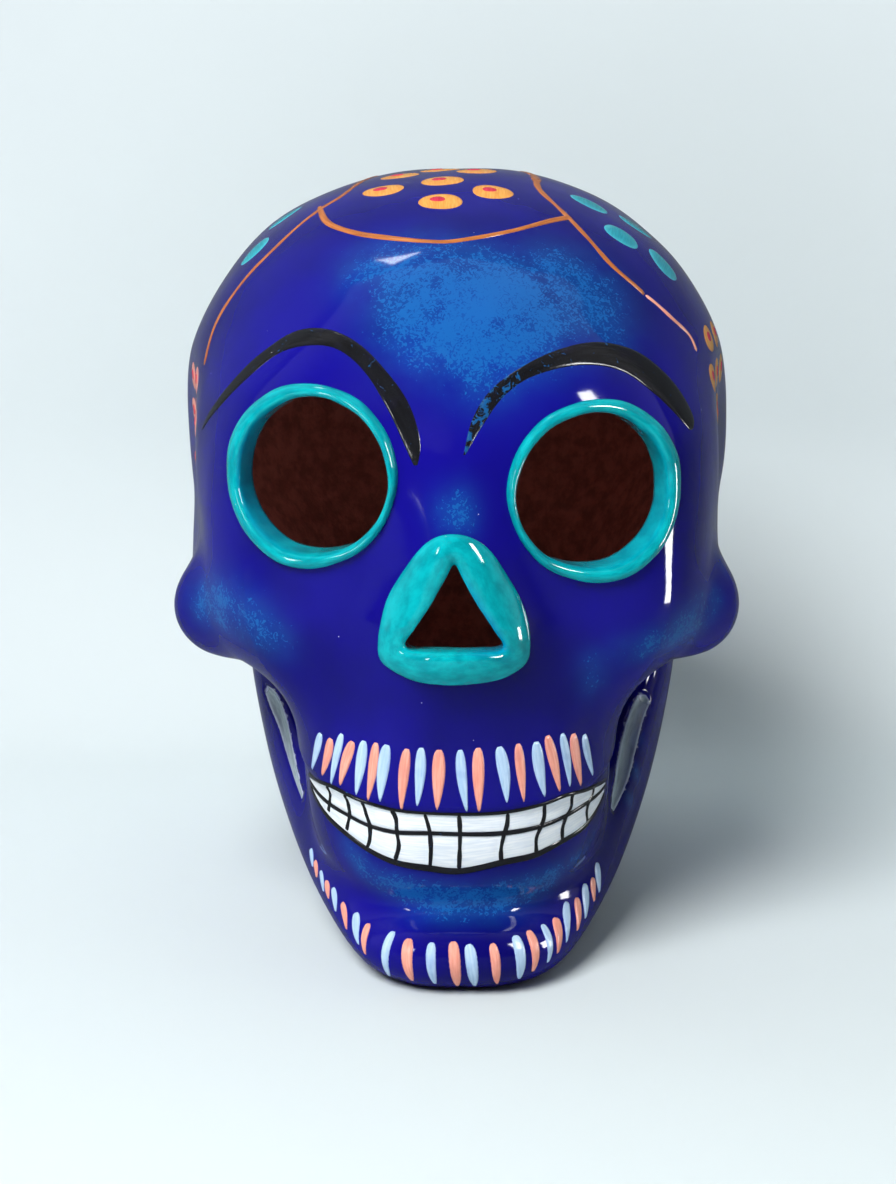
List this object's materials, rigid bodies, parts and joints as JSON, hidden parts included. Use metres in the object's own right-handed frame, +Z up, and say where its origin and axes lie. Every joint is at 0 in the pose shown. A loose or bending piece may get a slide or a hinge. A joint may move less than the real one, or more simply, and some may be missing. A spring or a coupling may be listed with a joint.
{
  "type": "ceramic skull ornament",
  "caption": "Hollow glazed clay skull with open eyes, nose and neck, rims round the openings, painted teeth, brows and crown, resting upright on chin and neck rim.",
  "frame": {"origin": "centre of the skull's footprint box, on the surface that it stands on", "axes": "+Z up, the face looks along -Y, +X is the skull's own left side"},
  "size_m": [0.131, 0.1765, 0.1747],
  "materials": {
    "blue_glaze": "clear gloss over deep ultramarine with light blue dabbed on by sponge",
    "teal_glaze": "gloss",
    "black_enamel": "gloss brush stroke",
    "white_enamel": "gloss brush stroke",
    "orange_enamel": "gloss brush stroke",
    "yellow_enamel": "gloss dab",
    "teal_enamel": "gloss dab",
    "coral_enamel": "gloss brush stroke",
    "pale_blue_enamel": "gloss brush stroke",
    "red_enamel": "gloss dab",
    "bare_clay": "unglazed fired clay inside the skull",
    "grey_slip": "glazed grey slip in the jaw slots"
  },
  "bodies": {
    "root": {"face_shell": "blue_glaze", "cranium_back_shell": "blue_glaze", "lower_jaw": "blue_glaze", "left_eye_rim": "teal_glaze", "right_eye_rim": "teal_glaze", "nose_rim": "teal_glaze", "left_eyebrow": "black_enamel", "right_eyebrow": "black_enamel", "upper_teeth": "white_enamel", "lower_teeth": "white_enamel", "mouth_outline": "black_enamel", "crown_lines": "orange_enamel", "flower_dot_1": "yellow_enamel", "flower_dot_2": "yellow_enamel", "flower_dot_3": "yellow_enamel", "flower_dot_4": "yellow_enamel", "flower_dot_5": "yellow_enamel", "flower_dot_6": "yellow_enamel", "flower_dot_7": "yellow_enamel", "teal_dot_1": "teal_enamel", "teal_dot_2": "teal_enamel", "teal_dot_3": "teal_enamel", "teal_dot_4": "teal_enamel", "teal_dot_5": "teal_enamel", "teal_dot_6": "teal_enamel"}
  },
  "joints": []
}
